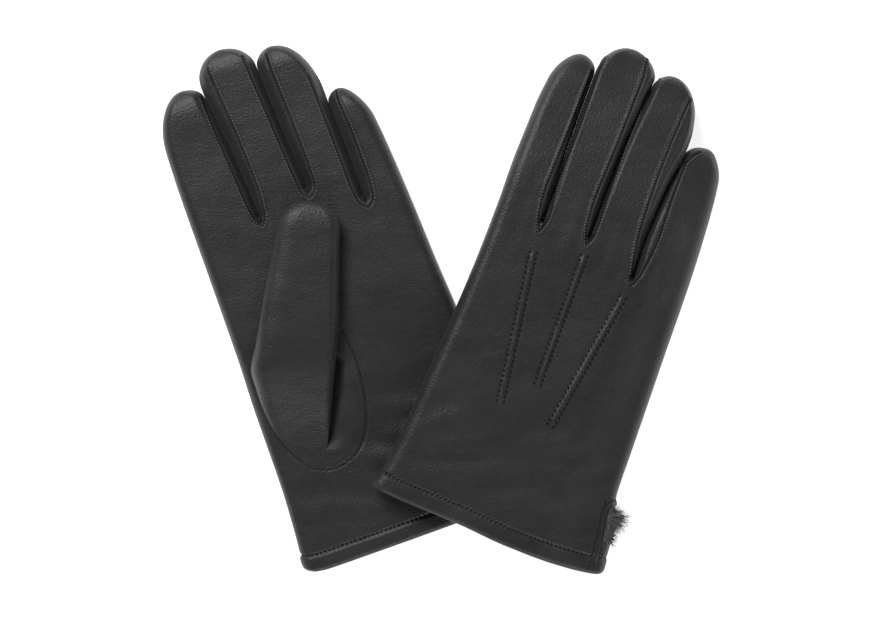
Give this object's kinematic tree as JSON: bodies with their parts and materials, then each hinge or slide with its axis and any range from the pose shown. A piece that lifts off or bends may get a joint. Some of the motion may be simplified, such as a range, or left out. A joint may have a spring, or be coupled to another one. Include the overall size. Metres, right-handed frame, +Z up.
{
  "type": "leather gloves",
  "caption": "Pair of near-black lined leather gloves lying flat, one palm up with its thumb folded over, the other back up across its cuff.",
  "frame": {"origin": "centre of the pair's outline on the surface that the gloves lie on", "axes": "+Z up from the surface, +X across the pair, +Y from the cuffs towards the fingertips"},
  "size_m": [0.2794, 0.2668, 0.0305],
  "materials": {
    "leather": "satin",
    "lining": "matte",
    "thread": "matte"
  },
  "bodies": {
    "left_hand": {"left_palm_panel": "leather", "left_back_panel": "leather", "left_cuff_hem": "leather", "left_hem_thread": "thread", "left_vent_binding": "leather", "left_hand_lining": "lining", "left_points": "leather", "left_thumb_gusset": "leather"},
    "left_index": {"left_index_back": "leather", "left_index_palm": "leather", "left_index_fourchettes": "leather", "left_index_lining": "lining"},
    "left_middle": {"left_middle_back": "leather", "left_middle_palm": "leather", "left_middle_fourchettes": "leather", "left_middle_lining": "lining"},
    "left_ring": {"left_ring_back": "leather", "left_ring_palm": "leather", "left_ring_fourchettes": "leather", "left_ring_lining": "lining"},
    "left_little": {"left_little_back": "leather", "left_little_palm": "leather", "left_little_fourchettes": "leather", "left_little_lining": "lining"},
    "left_thumb": {"left_thumb_leather": "leather", "left_thumb_lining": "lining"},
    "right_hand": {"right_palm_panel": "leather", "right_back_panel": "leather", "right_cuff_hem": "leather", "right_hem_thread": "thread", "right_vent_binding": "leather", "right_hand_lining": "lining", "right_points": "leather", "right_thumb_gusset": "leather"},
    "right_index": {"right_index_back": "leather", "right_index_palm": "leather", "right_index_fourchettes": "leather", "right_index_lining": "lining"},
    "right_middle": {"right_middle_back": "leather", "right_middle_palm": "leather", "right_middle_fourchettes": "leather", "right_middle_lining": "lining"},
    "right_ring": {"right_ring_back": "leather", "right_ring_palm": "leather", "right_ring_fourchettes": "leather", "right_ring_lining": "lining"},
    "right_little": {"right_little_back": "leather", "right_little_palm": "leather", "right_little_fourchettes": "leather", "right_little_lining": "lining"},
    "right_thumb": {"right_thumb_leather": "leather", "right_thumb_lining": "lining"}
  },
  "joints": [
    {"name": "right_lift", "type": "slide", "parent": "left_hand", "child": "right_hand", "axis": [0, 0, 1], "range_m": [0, 0.1]},
    {"name": "left_index_bend", "type": "hinge", "parent": "left_hand", "child": "left_index", "pos_m": [-0.10637, 0.04409, 0.0165], "axis": [0.9397, 0.342, 0], "range_deg": [0, 75]},
    {"name": "left_middle_bend", "type": "hinge", "parent": "left_hand", "child": "left_middle", "pos_m": [-0.07771, 0.05452, 0.0165], "axis": [0.9397, 0.342, 0], "range_deg": [0, 75]},
    {"name": "left_ring_bend", "type": "hinge", "parent": "left_hand", "child": "left_ring", "pos_m": [-0.0529, 0.06355, 0.0165], "axis": [0.9397, 0.342, 0], "range_deg": [0, 75]},
    {"name": "left_little_bend", "type": "hinge", "parent": "left_hand", "child": "left_little", "pos_m": [-0.02678, 0.06135, 0.0165], "axis": [0.9397, 0.342, 0], "range_deg": [0, 75]},
    {"name": "left_thumb_swing", "type": "hinge", "parent": "left_hand", "child": "left_thumb", "pos_m": [-0.061, -0.06391, 0.0229], "axis": [0, 0, 1], "range_deg": [0, 45]},
    {"name": "right_index_bend", "type": "hinge", "parent": "right_hand", "child": "right_index", "pos_m": [0.04506, 0.0629, 0.0135], "axis": [-0.9272, 0.3746, 0], "range_deg": [0, 75]},
    {"name": "right_middle_bend", "type": "hinge", "parent": "right_hand", "child": "right_middle", "pos_m": [0.06778, 0.05372, 0.0135], "axis": [-0.9272, 0.3746, 0], "range_deg": [0, 75]},
    {"name": "right_ring_bend", "type": "hinge", "parent": "right_hand", "child": "right_ring", "pos_m": [0.09262, 0.04368, 0.0135], "axis": [-0.9272, 0.3746, 0], "range_deg": [0, 75]},
    {"name": "right_little_bend", "type": "hinge", "parent": "right_hand", "child": "right_little", "pos_m": [0.11363, 0.02333, 0.00154], "axis": [-0.9272, 0.3746, 0], "range_deg": [0, 75]},
    {"name": "right_thumb_swing", "type": "hinge", "parent": "right_hand", "child": "right_thumb", "pos_m": [0.00909, -0.05415, 0.0063], "axis": [0, 0, 1], "range_deg": [0, 10]}
  ]
}
